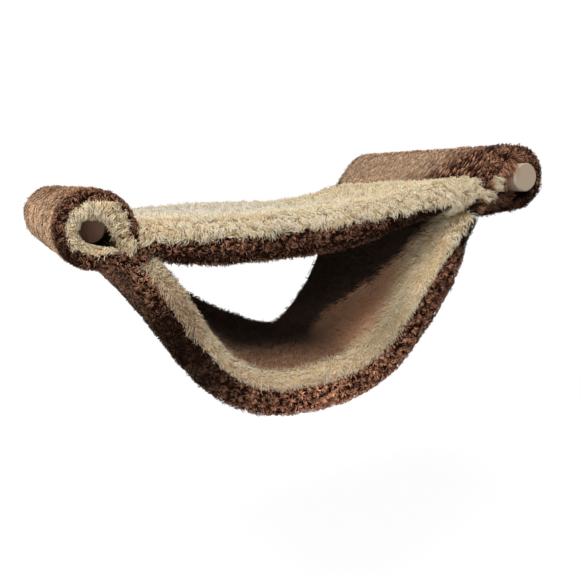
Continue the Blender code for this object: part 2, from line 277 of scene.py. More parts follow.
class Finish(Nodes):
    """A material. Its places are in the hammock's own frame, in metres."""

    def __init__(self, name):
        self.material = bpy.data.materials.new(name)
        super().__init__(self.material)
        self.place = self.add("ShaderNodeTexCoord", output="Object")

    def along(self, axis):
        """One coordinate of the place."""
        return self.add("ShaderNodeSeparateXYZ", sockets={0: self.place}, output=axis)

    def stored(self, name):
        """A number that the pile's mesh holds for each of its points."""
        return self.add("ShaderNodeAttribute", {"attribute_name": name}, output="Fac")

    def mix(self, share, first, second):
        """A colour between two colours."""
        ends = {0: share, 6: opaque(first), 7: opaque(second)}
        return self.add("ShaderNodeMix", {"data_type": "RGBA"}, ends, output=2)

    def shade(self, colour, amount):
        """A colour made darker or lighter by a number."""
        given = {0: colour, "Scale": amount}
        return self.add("ShaderNodeVectorMath", {"operation": "SCALE"}, given)

    def speckle(self, scale, detail=2.0, roughness=0.5, stretch=(1.0, 1.0, 1.0)):
        """Noise from 0 to 1 with the given number of spots in a metre."""
        scaled = {0: self.place, 1: stretch}
        place = self.add("ShaderNodeVectorMath", {"operation": "MULTIPLY"}, scaled)
        given = {"Vector": place, "Scale": scale, "Detail": detail, "Roughness": roughness}
        return self.add("ShaderNodeTexNoise", sockets=given)

    def bump(self, height, distance):
        """A normal from heights that are given as a share of the distance."""
        return self.add("ShaderNodeBump", sockets={"Height": height, "Distance": distance})

    def surface(self, **sockets):
        """The opaque shader and the output. Underscores in names stand for spaces."""
        named = {key.replace("_", " "): given for key, given in sockets.items()}
        shader = self.add("ShaderNodeBsdfPrincipled", sockets=named)
        self.add("ShaderNodeOutputMaterial", sockets={"Surface": shader})
        return self.material


def shaded(colour, amount):
    """A plain colour made darker or lighter."""
    return [part * amount for part in colour]


def opaque(colour):
    """A colour with its alpha, or the link that it already is."""
    return colour if isinstance(colour, Value) else (*colour, 1.0)


# Finishes


def plush_pile(cloth, name, tinted):
    """Curly cream pile, darker towards its roots as painted shade. tinted lays the colours of its
    places over it.
    """
    finish = Finish(name)
    cloud = finish.speckle(PLUSH_CLOUD, detail=3.0)
    tone = (finish.stored("strand") * 0.62 + cloud * 0.62 - 0.12).ramp(0.05, 0.95)
    colour = tinted(finish, cloud, finish.mix(tone, cloth.cream_deep, cloth.cream_light))
    # Painted shade: darker towards the roots
    shadow = 0.84 + 0.16 * finish.stored("height").ramp(0.0, 0.7)
    return finish.surface(
        Base_Color=finish.shade(colour, shadow),
        Roughness=0.92,
        Subsurface_Weight=0.35,
        Subsurface_Radius=(1.0, 0.6, 0.3),
        Subsurface_Scale=1.5 * MM,
        Specular_IOR_Level=0.0,
        Sheen_Weight=0.03,
        Sheen_Roughness=0.45,
        Sheen_Tint=(1.0, 0.88, 0.66, 1.0),
    )


def paler_middle(finish, cloud, colour):
    """The bed's plush: palest in the middle, deeper towards its front edge and its right."""
    middle = finish.along("Y").ramp(-0.118, -0.02) * finish.along("X").fall(-0.03, 0.12)
    return finish.mix(middle * 0.55, colour, PALE_CREAM)


def lining_haze_and_painted_shade(finish, cloud, colour):
    """The lining's colours: a ruddy haze of brown fibres at the lip, a darker left corner of the
    lip, and painted shade behind it: a darker flank, then brown, then nearly black deep in.
    """
    wander = (cloud - 0.5) * 0.012
    across = finish.along("X") + wander
    depth = finish.along("Y") + wander
    flank = across.ramp(0.0, 0.04)
    high_flank = across.ramp(0.035, 0.085)
    upper = across.ramp(0.045, 0.080)
    wall = across.fall(-0.092, -0.050)
    hump = across.ramp(-0.01, 0.045) * across.fall(0.055, 0.108)
    haze = depth.fall(-0.1350, -0.1290) * across.fall(-0.06, 0.09)
    corner = depth.fall(-0.1390, -0.1350) * across.fall(-0.122, -0.100)
    brown_from = depth + 0.130 - across.ramp(-0.075, 0.0) * 0.006 - high_flank * 0.011
    ruddy = (brown_from / (0.013 + flank * 0.025)).ramp(0.0, 1.0)
    dark_from = depth + 0.080 + wall * 0.046 - hump * 0.072 + upper * 0.030
    dark = (dark_from / 0.028).ramp(0.0, 1.0)
    # Painted shade: the flank's cream darker, brown behind the lip, nearly black deep in
    colour = finish.shade(colour, 1.0 - 0.28 * flank * (1.0 - upper))
    colour = finish.mix(haze * 0.35, colour, LIP_HAZE)
    colour = finish.mix(corner * 0.5, colour, LIP_CORNER)
    colour = finish.mix(ruddy * 0.92, colour, finish.mix(flank, FLOOR_SHADE_BROWN, FLANK_SHADE_BROWN))
    return finish.mix(dark * 0.95, colour, finish.mix(upper, FLOOR_SHADE_DARK, FLANK_SHADE_DARK))


def fleece_pile(cloth, name, brushed_sheen_share, shade=1.0, lift=0.08):
    """Brown pile, painted pale with the brushed nap's sheen where brushed_sheen_share gives 1. lift
    is how light its roots stay in their painted shade, and shade darkens the whole brown, which on
    the bed's fold stands for painted shade.
    """
    finish = Finish(name)
    cloud = finish.speckle(FLEECE_CLOUD, detail=3.0)
    tone = (finish.stored("strand") * 0.9 + cloud * 0.5 - 0.2).ramp(0.1, 1.0)
    dark = finish.mix(tone, shaded(cloth.brown_deep, shade), shaded(cloth.brown_light, shade))
    pale = finish.shade(cloth.brushed, 0.55 + 0.55 * tone)
    share = brushed_sheen_share(finish, cloud)
    # The brown gets painted light and shade by place
    colour = finish.mix(share, finish.shade(dark, painted_fleece_light(finish)), pale)
    # Painted shade: darker towards the roots and between the tufts
    roots = lift + 0.50 * share
    shadow = roots + (1.0 - roots) * finish.stored("height").ramp(0.05, 0.9)
    return finish.surface(
        Base_Color=finish.shade(colour, shadow),
        Roughness=0.88,
        Specular_IOR_Level=0.0,
        Sheen_Weight=0.04,
        Sheen_Roughness=0.4,
        Sheen_Tint=(1.0, 0.66, 0.50, 1.0),
    )


def painted_fleece_light(finish):
    """Painted light and shade on the brown fleece: lighter on the sling's floor and towards its
    right, darker on its left and towards the right end of the bed's band, and painted shadow low on
    the sleeves.
    """
    across = finish.along("X")
    up = finish.along("Z")
    bed = 1.05 - 0.84 * across.ramp(0.0, 0.09) * across.fall(0.13, 0.14)
    sling = 0.12 + 1.22 * across.ramp(-0.125, -0.02)
    low = up.fall(-0.075, -0.045)
    floor = up.fall(-0.165, -0.115)
    left_under = across.fall(-0.200, -0.186) * up.fall(-0.012, 0.008)
    right_under = across.ramp(0.135, 0.145) * up.fall(-0.016, -0.003)
    shade = (1.0 - 0.8 * left_under) * (1.0 - 0.7 * right_under)
    return (bed + low * (sling - bed) + floor * 1.3) * shade


def pale_patches_and_sheen(finish, cloud):
    """Bed and sling: pale nap in a few soft patches, and painted sheen on their left part behind
    the front edge.
    """
    left = finish.along("Y").ramp(-0.130, -0.118) * finish.along("X").fall(-0.11, -0.07)
    return cloud.ramp(0.45, 0.85) * 0.10 + left * 0.12


def left_brushed_sheen(finish, cloud):
    """Left sleeve: the nap's sheen painted pale all over but for the rims at its two mouths."""
    return finish.along("Y").size().fall(0.112, 0.130) * (0.60 + 0.25 * cloud.ramp(0.3, 0.7))


def right_brushed_sheen(finish, cloud):
    """Right sleeve: the nap's sheen painted pale on the back two thirds, dark and reddish near the
    front mouth.
    """
    depth = finish.along("Y") + (cloud - 0.5) * 0.04
    slanted = depth + (finish.along("Z") - 0.024) * 1.1
    return slanted.ramp(-0.092, -0.024) * depth.fall(0.118, 0.133) * 0.92


def knitted(finish, colour, tone, height, depth=1.2 * MM):
    """The ground that a cloth's pile stands on."""
    return finish.surface(
        Base_Color=finish.shade(colour, tone),
        Roughness=0.95,
        Specular_IOR_Level=0.02,
        Normal=finish.bump(height, depth),
    )


def backing(name, deep, shade, pale=None, brushed_sheen_places=None):
    """Ground of a cloth, in the shade under its pile. In some places it is painted pale with the
    brushed nap's sheen.
    """
    finish = Finish(name)
    knit = finish.speckle(KNIT)
    cloud = finish.speckle(60.0)
    colour = shaded(deep, shade)
    if brushed_sheen_places:
        share = brushed_sheen_places(finish, finish.speckle(FLEECE_CLOUD, detail=3.0))
        colour = finish.mix(share, colour, shaded(pale, 0.55))
    tone = 0.75 + 0.3 * knit + 0.25 * (cloud - 0.5)
    return knitted(finish, colour, tone, knit * 0.7 + cloud * 0.3)


def lining_backing(cloth):
    """Ground of the sling's lining, with the same haze and painted shade as its pile."""
    finish = Finish("lining_ground")
    knit = finish.speckle(KNIT)
    cloud = finish.speckle(PLUSH_CLOUD, detail=3.0)
    colour = lining_haze_and_painted_shade(finish, cloud, shaded(cloth.cream_deep, 0.75))
    return knitted(finish, colour, 0.8 + 0.3 * knit, knit)


def mouth_backing(cloth, name, ovals):
    """Ground of a sleeve's lining: cream, but brown round the ovals of cream pile in front."""
    finish = Finish(name)
    knit = finish.speckle(KNIT)
    across = finish.along("X")
    up = finish.along("Z")
    inside = 0.0
    for middle, height, half_width, half_height in ovals:
        off_x = (across - middle) / half_width
        off_z = (up - height) / half_height
        inside = (off_x * off_x + off_z * off_z).fall(0.9, 1.1).larger(inside)
    share = finish.along("Y").fall(-0.105, -0.095) * (1.0 - inside)
    # Both colours are darkened, as painted shade under the pile
    colour = finish.mix(share, shaded(cloth.cream_deep, 0.9), shaded(cloth.brown_deep, 0.3))
    return knitted(finish, colour, 0.7 + 0.4 * knit, knit, 1.0 * MM)


def filling_finish():
    """Loose white fibre."""
    finish = Finish("white_filling")
    fibre = finish.speckle(300.0, detail=4.0, roughness=0.7, stretch=(1.0, 0.3, 1.0))
    colour = finish.mix(fibre, (0.66, 0.65, 0.62), (0.86, 0.85, 0.82))
    return finish.surface(Base_Color=colour, Roughness=0.95, Normal=finish.bump(fibre, 0.8 * MM))


def thread_finish():
    """Spun polyester with a slanting twist."""
    finish = Finish("brown_thread")
    twist = finish.add(
        "ShaderNodeTexWave",
        {"wave_type": "BANDS", "bands_direction": "DIAGONAL"},
        {"Vector": finish.place, "Scale": 900.0, "Distortion": 0.6},
        output="Fac",
    )
    colour = finish.mix(twist, (0.028, 0.012, 0.009), (0.070, 0.032, 0.023))
    return finish.surface(Base_Color=colour, Roughness=0.6, Normal=finish.bump(twist, 0.15 * MM))


def wood_finish(wood, name, node, end_colour):
    """Sanded softwood: year rings on the ends, grain lines down the sides, and a front end mixed
    towards end_colour: painted shadow on the left dowel, the sawn end's own colour on the right.
    """
    low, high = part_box(node)
    pith_x = (low.x + high.x) / 2 + 11 * MM
    pith_z = (low.z + high.z) / 2 - 14 * MM
    finish = Finish(name)
    wander = finish.speckle(45.0, stretch=(1.0, 0.12, 1.0))
    off_x = finish.along("X") - pith_x
    off_z = finish.along("Z") - pith_z
    radius = (off_x * off_x + off_z * off_z) ** 0.5 + (wander - 0.5) * 2.6 * MM
    saw = (radius / wood.ring_step).fraction()
    ring = saw.ramp(0.35, 0.92) * saw.fall(0.93, 1.0)
    fibre = finish.speckle(900.0, detail=3.0, stretch=(1.0, 0.03, 1.0))
    pores = finish.speckle(1500.0, detail=1.0)
    tone = ring * 0.32 + fibre * 0.35 + (pores - 0.5) * 0.3
    colour = finish.mix(tone, wood.light, wood.dark)
    front_end = (finish.along("Y") - low.y).fall(0.0, 0.03)
    return finish.surface(
        Base_Color=finish.mix(front_end * 0.8, colour, end_colour),
        Roughness=0.58 + 0.15 * fibre,
        Specular_IOR_Level=0.35,
        Normal=finish.bump(fibre * 0.6 + pores * 0.4, 0.2 * MM),
    )


# Geometry helpers


def unit(rows):
    """Rows of vectors, each made one long."""
    return rows / np.maximum(np.linalg.norm(rows, axis=1, keepdims=True), 1e-12)


def smooth(values, low, high):
    """0 below low, 1 above high, and a smooth rise between them."""
    share = np.clip((values - low) / (high - low), 0.0, 1.0)
    return share * share * (3.0 - 2.0 * share)


def flatten(rows, normals):
    """Rows of vectors, laid down into the surface that has these normals."""
    return rows - (rows * normals).sum(1, keepdims=True) * normals


def vertex_rows(mesh, what):
    """A mesh's places or normals as rows of three numbers."""
    found = np.empty(len(mesh.vertices) * 3)
    mesh.vertices.foreach_get(what, found)
    return found.reshape(-1, 3)


def set_places(mesh, places):
    """Move a mesh's vertices to these rows."""
    mesh.vertices.foreach_set("co", places.ravel())
    mesh.update()


def to_edge(places):
    """How far each place lies from the nearer of the front and back edges."""
    return np.minimum(places[:, 1] - CLOTH_FRONT, CLOTH_BACK - places[:, 1])


def edge_share(places):
    """1 along the front and back edges of the cloths, 0 in their middle."""
    return 1.0 - smooth(to_edge(places), EDGE_ZONE - EDGE_FADE, EDGE_ZONE)


def outward(places):
    """-1 in the front half, 1 in the back half: the way along Y that leaves the cloth."""
    return np.where(places[:, 1] < 0.0, -1.0, 1.0)


class Neighbours:
    """The CAD solids round a cloth, to find where nothing lies against it."""

    def __init__(self, own):
        corners = []
        faces = []
        for name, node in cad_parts.items():
            if name == own or name.endswith("thread"):
                continue
            start = len(corners)
            corners += [tuple(v.co) for v in node.data.vertices]
            faces += [[start + i for i in p.vertices] for p in node.data.polygons]
        self.tree = BVHTree.FromPolygons(corners, faces)

    def clear(self, places, normals):
        """True for each place with room over it."""
        starts = places - normals * SINK
        met = [
            self.tree.ray_cast(Vector(start), Vector(way), TOUCH + SINK)[0]
            for start, way in zip(starts, normals, strict=True)
        ]
        return np.array([m is None for m in met], bool)


def linked(name, data):
    """A new object in the scene."""
    made = bpy.data.objects.new(name, data)
    bpy.context.scene.collection.objects.link(made)
    return made


def new_piece(name, mesh, body, material):
    """A piece of the object, riding on its body."""
    piece = linked(name, mesh)
    mesh.materials.clear()
    mesh.materials.append(material)
    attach(piece, body)
    return piece


def rebuilt(node, name, grain):
    """The node's solid as an even smooth skin."""
    shape = linked(name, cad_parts[node].data.copy())
    remesh = shape.modifiers.new("skin", "REMESH")
    remesh.mode = "VOXEL"
    remesh.voxel_size = grain
    relax = shape.modifiers.new("relax", "SMOOTH")
    relax.factor = 0.5
    relax.iterations = 4
    graph = bpy.context.evaluated_depsgraph_get()
    mesh = bpy.data.meshes.new_from_object(shape.evaluated_get(graph), depsgraph=graph)
    bpy.data.objects.remove(shape)
    mesh.name = name
    mesh.polygons.foreach_set("use_smooth", np.ones(len(mesh.polygons), bool))
    return mesh


def soften(mesh, node, height, span, seed):
    """Low soft bumps where nothing lies against the cloth."""
    places = vertex_rows(mesh, "co")
    normals = vertex_rows(mesh, "normal")
    clear = Neighbours(node).clear(places, normals)
    shift = Vector((seed * 7.3, seed * 3.1, seed * 5.7))
    lift = np.array([noise.noise(Vector(p) / span + shift) for p in places])
    set_places(mesh, places + normals * (lift * height * clear)[:, None])


def cloth_piece(name, node, material, grain, seed, height=0.9 * MM, span=14 * MM):
    """The ground of one cloth, in the place of its CAD solid."""
    mesh = rebuilt(node, name, grain)
    soften(mesh, node, height, span, seed)
    piece = new_piece(name, mesh, "cloth", material)
    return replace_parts(piece, node)


# Pile


@dataclass
class Pile:
    """How one stretch of pile grows. length is a share of the full length of the cloth's pile.

    pull and gather draw the tips and the roots of a tuft together, and burst leans its locks
    outwards. crown is how much of the light goes by the tuft's dome, and mixed how much the
    locks of one tuft differ in tone. A low streak makes tufts long in the combed direction.
    """

    per_cm2: float
    width: float
    flat: float
    lay: float
    stray: float
    alone: float
    wave: float
    tuft: float
    pull: float
    curl: float
    length: float = 1.0
    spread: float = 0.25
    droop: float = 0.15
    gather: float = 0.0
    burst: float = 0.0
    streak: float = 1.0
    crown: float = 0.0
    mixed: float = 0.45
    rings: int = 3


def surface_points(cloth, per_cm2, draw):
    """Random points on a cloth, so many to the square centimetre, with their smooth normals."""
    mesh = cloth.data
    mesh.calc_loop_triangles()
    corners = np.empty(len(mesh.loop_triangles) * 3, np.int32)
    mesh.loop_triangles.foreach_get("vertices", corners)
    corners = corners.reshape(-1, 3)
    places = vertex_rows(mesh, "co")
    normals = vertex_rows(mesh, "normal")
    first, second, third = (places[corners[:, i]] for i in range(3))
    area = np.linalg.norm(np.cross(second - first, third - first), axis=1) / 2
    count = int(area.sum() / SQUARE_CM * per_cm2)
    picked = draw.choice(len(area), count, p=area / area.sum())
    shares = draw.dirichlet((1.0, 1.0, 1.0), count)
    spots = sum(places[corners[picked, i]] * shares[:, i : i + 1] for i in range(3))
    ways = sum(normals[corners[picked, i]] * shares[:, i : i + 1] for i in range(3))
    return spots, unit(ways)


def spaced(roots, gap, draw):
    """Indices of roots that lie at least a gap apart, as many as fit."""
    cells = np.floor(roots / gap).astype(int)
    taken = {}
    kept = []
    steps = [(x, y, z) for x in (-1, 0, 1) for y in (-1, 0, 1) for z in (-1, 0, 1)]
    for i in draw.permutation(len(roots)):
        x, y, z = cells[i]
        near = [taken.get((x + a, y + b, z + c)) for a, b, c in steps]
        spots = [roots[j] for found in near if found for j in found]
        if spots and np.min(np.sum((np.array(spots) - roots[i]) ** 2, axis=1)) < gap**2:
            continue
        taken.setdefault((x, y, z), []).append(i)
        kept.append(i)
    return np.array(kept)


def tuft_middles(roots, gap, draw):
    """For each root, the index of the root that is the middle of its tuft."""
    centres = spaced(roots, gap, draw)
    tree = KDTree(len(centres))
    for i, centre in enumerate(centres):
        tree.insert(roots[centre], i)
    tree.balance()
    return centres[[tree.find(root)[1] for root in roots]]


def lock_paths(roots, normals, pile, drift, long, draw):
    """Each lock's line from root to tip, its tone, and how open to the light each stop lies."""
    count = len(roots)
    grain = unit(drift + 1e-9)
    drawn_in = (roots * grain).sum(1, keepdims=True) * grain * (1.0 - pile.streak)
    middle = tuft_middles(roots - drawn_in, pile.tuft * TUFT_GAP, draw)
    own_way = draw.normal(size=(count, 3))
    tuft_way = draw.normal(size=(count, 3))[middle]
    from_middle = unit(flatten(roots - roots[middle], normals) + NUDGE * own_way)
    stray = pile.stray * (SHARED_STRAY * tuft_way + pile.alone * own_way)
    way = flatten(drift + stray + pile.burst * from_middle, normals)
    lean = way * pile.lay
    own_middle = roots[middle]
    roots = roots + (own_middle - roots) * pile.gather
    reach = long * (1.0 + pile.spread * (draw.random(count) - 0.5) * 2.0)
    reach *= 0.85 + 0.3 * draw.random(count)[middle]
    heading = unit(normals * (1.0 - LAID_DOWN * pile.lay) + lean)
    tips = roots + heading * reach[:, None]
    gathered = tips[middle] + (roots - roots[middle]) * TIP_SPREAD
    tips += (gathered - tips) * pile.pull
    tips[:, 2] -= pile.droop * reach
    tips -= normals * (pile.curl * reach)[:, None]
    rise = ((tips - roots) * normals).sum(1)
    tips += normals * np.maximum(0.0, LEAST_RISE * reach - rise)[:, None]
    high = (KNEE_RISE + KNEE_CURL * pile.curl) * reach
    knees = roots + normals * high[:, None] + lean * (KNEE_LEAN * reach)[:, None]
    side = unit(np.cross(heading, normals) + NUDGE * own_way)
    steps = np.append(np.linspace(0.0, BLUNT, pile.rings), 1.0)
    phase = draw.random(count) * 0.25 + draw.random(count)[middle] * 0.75
    start = roots - normals * SINK
    paths = np.empty((count, len(steps), 3))
    open_ = np.empty((count, len(steps)))
    for k, step in enumerate(steps):
        curve = start * (1 - step) ** 2 + knees * 2 * step * (1 - step) + tips * step**2
        swing = np.sin((phase + step * WAVE_TURNS) * 2 * math.pi) * pile.wave * step
        paths[:, k] = curve + side * swing[:, None]
        aside = np.linalg.norm(flatten(curve - own_middle, normals), axis=1)
        domed = 1.0 - smooth(aside / pile.tuft, TUFT_CORE, TUFT_RIM)
        open_[:, k] = (1.0 - pile.crown) * step + pile.crown * domed
    tone = draw.random(count) * pile.mixed
    tone += draw.random(count)[middle] * (1.0 - pile.mixed)
    return paths, side, tone, open_


def lock_mesh(name, paths, side, tone, open_, width, flat):
    """Closed tapering locks along the given lines, with one cell of the map for each."""
    count, stops, _ = paths.shape
    rings = stops - 1
    per_lock = rings * LOCK_SIDES + 1
    places = np.empty((count, per_lock, 3))
    girth = width / 2 * np.linspace(1.0, POINTED, rings)
    angles = np.arange(LOCK_SIDES) * 2 * math.pi / LOCK_SIDES
    for k in range(rings):
        ahead = unit(paths[:, k + 1] - paths[:, max(k - 1, 0)])
        across = unit(side - (side * ahead).sum(1, keepdims=True) * ahead)
        up = np.cross(across, ahead)
        for j, angle in enumerate(angles):
            offset = across * math.cos(angle) + up * (math.sin(angle) * flat)
            places[:, k * LOCK_SIDES + j] = paths[:, k] + offset * girth[k]
    places[:, -1] = paths[:, -1]
    faces = []
    spans = []
    for k in range(rings):
        low, high = k / rings, (k + 1) / rings
        here, there = k * LOCK_SIDES, (k + 1) * LOCK_SIDES
        for j in range(LOCK_SIDES):
            after = (j + 1) % LOCK_SIDES
            left, right = j / LOCK_SIDES, (j + 1) / LOCK_SIDES
            if k < rings - 1:
                faces.append([here + j, here + after, there + after, there + j])
                spans.append([(left, low), (right, low), (right, high), (left, high)])
            else:
                faces.append([here + j, here + after, there])
                spans.append([(left, low), (right, low), (left, high)])
    faces.append(list(range(LOCK_SIDES))[::-1])
    spans.append([(0.0, 0.0), (0.1, 0.0), (0.0, 0.05)])
    corners = np.array([i for face in faces for i in face])
    cell = np.array([uv for span in spans for uv in span])
    starts = np.cumsum([0] + [len(face) for face in faces[:-1]])
    shift = np.arange(count)[:, None]
    mesh = bpy.data.meshes.new(name)
    mesh.vertices.add(count * per_lock)
    mesh.loops.add(count * len(corners))
    mesh.polygons.add(count * len(faces))
    mesh.vertices.foreach_set("co", places.ravel())
    mesh.loops.foreach_set("vertex_index", (corners + shift * per_lock).ravel())
    mesh.polygons.foreach_set("loop_start", (starts + shift * len(corners)).ravel())
    mesh.update(calc_edges=True)
    mesh.polygons.foreach_set("use_smooth", np.ones(len(mesh.polygons), bool))
    across = math.ceil(math.sqrt(count))
    column, row = np.divmod(np.arange(count), across)
    corner = np.stack([column, row], 1)[:, None]
    spots = (corner + CELL_MARGIN + (1.0 - 2 * CELL_MARGIN) * cell) / across
    mesh.uv_layers.new(name="OFBake").data.foreach_set("uv", spots.ravel())
    heights = np.repeat(open_, [LOCK_SIDES] * rings + [1], axis=1)
    for kind, rows in (("strand", np.repeat(tone, per_lock)), ("height", heights.ravel())):
        mesh.attributes.new(kind, "FLOAT", "POINT").data.foreach_set("value", rows)
    return mesh


def grow(name, ground, pile, full, material, slot, seed, where, comb, length=None):
    """Pile on the open side of a cloth. where, comb and length give a value for each place."""
    draw = np.random.default_rng(seed)
    roots, normals = surface_points(ground, pile.per_cm2, draw)
    kept = draw.random(len(roots)) < where(roots, normals)
    roots, normals = roots[kept], normals[kept]
    clear = Neighbours(ground["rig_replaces"][0]).clear(roots, normals)
    roots, normals = roots[clear], normals[clear]
    drifts = comb(roots, normals) if comb else np.zeros((len(roots), 3))
    longs = pile.length * full * (length(roots, normals) if length else np.ones(len(roots)))
    paths, side, tone, open_ = lock_paths(roots, normals, pile, drifts, longs, draw)
    mesh = lock_mesh(name, paths, side, tone, open_, pile.width, pile.flat)
    return new_piece(name, mesh, "cloth", material)


# Where pile stands, how it is combed and how long it is, for rows of places and their normals


def at_front(places, normals):
    """The strip along the front edge."""
    return edge_share(places) * (places[:, 1] < 0.0)


def at_back(places, normals):
    """The strip along the back edge."""
    return edge_share(places) * (places[:, 1] > 0.0)


def front_face(places, normals):
    """The part of the front edge that faces forward and up, where the tufts stand."""
    return at_front(places, normals) * smooth(normals[:, 2] - normals[:, 1], 0.2, 0.6)


def sling_face(places, normals):
    """The part of the sling's front edge that faces forward."""
    return at_front(places, normals) * smooth(-normals[:, 1], 0.05, 0.35)


def rest_of(face, places, normals):
    """What a front edge's face leaves over: its rear side, which lies flat and dark."""
    return at_front(places, normals) - face(places, normals)


def off_edges(places, normals):
    """All but the strips along the front and back edges."""
    return 1.0 - 0.8 * edge_share(places)


def in_half(back, places, normals):
    """The front or the back half, but for the strip along its edge."""
    return off_edges(places, normals) * ((places[:, 1] >= 0.0) == back)


def only_between(where, left, right, places, normals):
    """The same places, but only between two distances from the middle, with soft ends."""
    across = places[:, 0]
    inside = smooth(across, left - 6 * MM, left) * (1 - smooth(across, right, right + 6 * MM))
    return where(places, normals) * inside


def in_ovals(sleeve, places):
    """1 in a sleeve's ovals of cream pile at the front, and all over at the back."""
    inside = places[:, 1] > 0.0
    for across, up, half_width, half_height in sleeve.ovals:
        off = (places[:, 0] - across) / half_width, (places[:, 2] - up) / half_height
        inside |= off[0] ** 2 + off[1] ** 2 < 1.0
    return inside.astype(float)


def gap_share(sleeve, places):
    """1 where a front mouth gapes round its dowel, 0 where the cloth hugs it."""
    along, up = sleeve.gap_way
    towards_gap = (places[:, 0] - sleeve.axis) * along + places[:, 2] * up
    gaping = smooth(towards_gap, 2 * MM, 6 * MM) * (sleeve.hollow > 0.0)
    return gaping * (places[:, 1] < 0.0)


def at_mouths(sleeve, cream, places, normals):
    """The first millimetres inside a sleeve's mouths, in the ovals of cream pile or out of them."""
    near = 1.0 - smooth(to_edge(places), 8 * MM, 10 * MM)
    inside = in_ovals(sleeve, places)
    if cream:
        return near * inside
    return near * (1.0 - inside) * (1.0 - gap_share(sleeve, places))


def over_gap(sleeve, places, normals):
    """The upper lip between a dowel and its seam, where a fringe hangs over the gap."""
    near = 1.0 - smooth(to_edge(places), 5 * MM, 7 * MM)
    inwards = (sleeve.axis - places[:, 0]) * np.sign(sleeve.axis)
    beside = smooth(inwards, 7 * MM, 9 * MM) * (1.0 - smooth(inwards, 17 * MM, 20 * MM))
    return near * beside * (places[:, 1] < 0.0) * (places[:, 2] > -6 * MM)


def over_rim(sleeve, places, normals):
    """The inner part of the cover's front rim, where curls of the lining lie over it."""
    radius = np.hypot(places[:, 0] - sleeve.axis, places[:, 2])
    inner = in_ovals(sleeve, places) * (radius < sleeve.curled)
    return inner * at_front(places, normals)


def rim_places(sleeve, places, normals):
    """The rest of the cover's front rim."""
    return at_front(places, normals) * (1.0 - over_rim(sleeve, places, normals))


def brushed(way, places, normals):
    """Combed the same way all over."""
    return np.tile(way, (len(places), 1))


def rim_way(sleeve, places, normals):
    """The front rim: combed as the sleeve's nap, and out of the edge."""
    _, along, up = sleeve.comb
    return brushed((0.0, along - 0.2, 0.7 * up), places, normals)


def combed(out, down, places, normals):
    """Combed out of the nearer edge, and down."""
    leave = outward(places) * out
    return np.stack([0.0 * leave, leave, np.full(len(leave), -down)], 1)


def towards(aim, inward, out, places, normals):
    """A sleeve's mouth: combed towards a spot in the hole, and out of the nearer edge."""
    to_aim = np.stack([aim[0] - places[:, 0], 0.0 * places[:, 0], aim[1] - places[:, 2]], 1)
    return unit(to_aim) * inward + outward(places)[:, None] * np.array([0.0, out, 0.0])


def reaching(aim, places, normals):
    """A share of length that grows with the way to a spot in the hole."""
    away = np.hypot(places[:, 0] - aim[0], places[:, 2] - aim[1])
    above = smooth(places[:, 2] - aim[1], 4 * MM, 12 * MM)
    return np.clip(away / (17 * MM), 0.5, 1.45) * (1.0 + 0.45 * above)


def longer_at_seams(left, right, places, normals):
    """A share of extra length towards the left and the right seam."""
    near_left = smooth(-places[:, 0], 0.100, 0.140)
    near_right = smooth(places[:, 0], 0.085, 0.130)
    return 1.0 + left * near_left + right * near_right


# Kinds of pile: curly cream pile, brown tufts that burst from their middles, flat brown nap


PLUSH = Pile(
    per_cm2=28.0, width=0.62 * MM, flat=0.8, lay=0.65, stray=0.7, alone=0.35, wave=0.7 * MM,
    tuft=4.6 * MM, pull=0.15, curl=0.2,
)
KNOBS = Pile(
    per_cm2=62.0, spread=0.35, width=0.62 * MM, flat=0.7, lay=0.75, stray=0.35, alone=0.6,
    burst=0.9, gather=0.55, wave=0.6 * MM, droop=0.0, tuft=7.6 * MM, pull=0.0, curl=0.4,
    crown=0.55, mixed=0.8, rings=4,
)
NAP = Pile(
    per_cm2=30.0, length=0.8, width=0.95 * MM, flat=0.5, lay=1.0, stray=0.3, alone=0.35,
    wave=0.35 * MM, droop=0.0, tuft=3.0 * MM, pull=0.3, curl=0.1, streak=0.4,
)


# Pieces


SHARED = {}


def shared_finishes(cloth):
    """The finishes that several cloths share, made once."""
    if not SHARED:
        SHARED["plush"] = plush_pile(cloth, "cream_plush_pile", paler_middle)
        SHARED["lining"] = plush_pile(cloth, "cream_lining_pile", lining_haze_and_painted_shade)
        SHARED["fleece"] = fleece_pile(cloth, "brown_fleece_pile", pale_patches_and_sheen)
        # The bed's fold: the fleece at half its colour, as painted shade
        SHARED["fold"] = fleece_pile(cloth, "brown_fold_painted_shade_pile", pale_patches_and_sheen, 0.5)
        SHARED["cream_ground"] = backing("cream_ground", cloth.cream_deep, 0.85)
        SHARED["lining_ground"] = lining_backing(cloth)
        SHARED["brown_ground"] = backing("brown_ground", cloth.brown_deep, 0.3)
    return SHARED


def coat(cloth, ground, layers, material, slot):
    """Every layer of pile on a cloth: its name, kind, seed, places, way of combing, any length."""
    full = cloth.cream_length if slot == CREAM else cloth.brown_length
    return [
        grow(name, ground, kind, full, material, slot, seed, where, comb, *longs)
        for name, kind, seed, where, comb, *longs in layers
    ]


